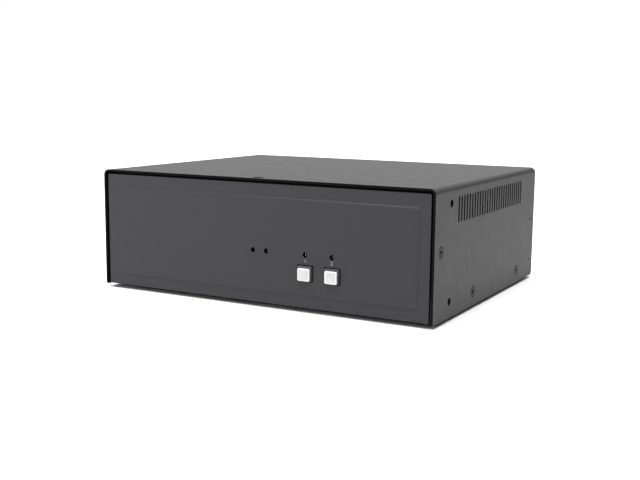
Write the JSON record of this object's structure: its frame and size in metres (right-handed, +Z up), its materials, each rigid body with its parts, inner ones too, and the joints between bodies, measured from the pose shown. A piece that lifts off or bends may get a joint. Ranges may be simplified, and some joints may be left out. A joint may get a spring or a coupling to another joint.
{
  "type": "kvm switch",
  "caption": "Low desktop steel case that shares a keyboard, mouse and screens between computers by front push buttons, with side vents and rear sockets.",
  "frame": {"origin": "centre of the whole object's footprint, on the surface the feet stand on", "axes": "+X to the right along the case's width seen from the front, +Y from the button front to the socket rear, +Z up"},
  "size_m": [0.21, 0.1694, 0.0705],
  "materials": {
    "case_paint": "fine matt textured powder coat, charcoal",
    "foot_rubber": "matt black rubber",
    "circuit_board": "green solder mask",
    "brass_spacer": "nickel-free turned brass",
    "screw_steel": "zinc plated",
    "black_aluminium": "black anodised",
    "black_plastic": "moulded black plastic",
    "ribbon_grey": "grey vinyl",
    "connector_shell": "bright nickel plated shell",
    "audio_green": "moulded green plastic",
    "audio_pink": "moulded pink plastic",
    "spring_steel": "music wire",
    "plunger_grey": "moulded dark grey plastic",
    "lens_white": "milky white diffuser",
    "led_epoxy": "dark tinted epoxy, unlit"
  },
  "bodies": {
    "case": {"cover": "case_paint", "front_panel": "case_paint", "rear_panel": "case_paint", "cover_screw_right_front": "case_paint", "cover_screw_right_middle": "case_paint", "cover_screw_right_rear": "case_paint", "cover_screw_left_front": "case_paint", "cover_screw_left_middle": "case_paint", "cover_screw_left_rear": "case_paint", "cover_screw_top": "case_paint", "chassis_tray": "case_paint", "foot_front_left": "foot_rubber", "foot_front_right": "foot_rubber", "foot_rear_left": "foot_rubber", "foot_rear_right": "foot_rubber", "console_board": "circuit_board", "port_1_board": "circuit_board", "port_2_board": "circuit_board", "front_board": "circuit_board", "spacer_stack_front_left": "brass_spacer", "spacer_stack_front_right": "brass_spacer", "spacer_stack_rear_left": "brass_spacer", "spacer_stack_rear_right": "brass_spacer", "stack_screw_front_left": "screw_steel", "stack_screw_front_right": "screw_steel", "stack_screw_rear_left": "screw_steel", "stack_screw_rear_right": "screw_steel", "heat_sink": "black_aluminium", "ribbon_header_front": "black_plastic", "ribbon_header_console": "black_plastic", "power_jack": "black_plastic", "switch_body_1": "black_plastic", "switch_body_2": "black_plastic", "ribbon_cable": "ribbon_grey", "video_socket_console_a": "connector_shell", "video_socket_console_b": "connector_shell", "video_socket_port_1_a": "connector_shell", "video_socket_port_1_b": "connector_shell", "video_socket_port_2_a": "connector_shell", "video_socket_port_2_b": "connector_shell", "usb_a_stack": "connector_shell", "usb_b_socket_port_1": "connector_shell", "usb_b_socket_port_2": "connector_shell", "audio_jack_console_out": "audio_green", "audio_jack_port_1_out": "audio_green", "audio_jack_port_2_out": "audio_green", "audio_jack_console_mic": "audio_pink", "audio_jack_port_1_mic": "audio_pink", "audio_jack_port_2_mic": "audio_pink", "switch_spring_1": "spring_steel", "switch_spring_2": "spring_steel", "led_status_a": "led_epoxy", "led_status_b": "led_epoxy", "led_port_1": "led_epoxy", "led_port_2": "led_epoxy"},
    "button_1": {"switch_plunger_1": "plunger_grey", "switch_lens_1": "lens_white"},
    "button_2": {"switch_plunger_2": "plunger_grey", "switch_lens_2": "lens_white"}
  },
  "joints": [
    {"name": "port_1_press", "type": "slide", "parent": "case", "child": "button_1", "axis": [0, 1, 0], "range_m": [0, 0.0018], "stiffness_N_per_m": 300, "springref_m": -0.0015, "deforming": ["switch_spring_1"]},
    {"name": "port_2_press", "type": "slide", "parent": "case", "child": "button_2", "axis": [0, 1, 0], "range_m": [0, 0.0018], "stiffness_N_per_m": 300, "springref_m": -0.0015, "deforming": ["switch_spring_2"]}
  ]
}
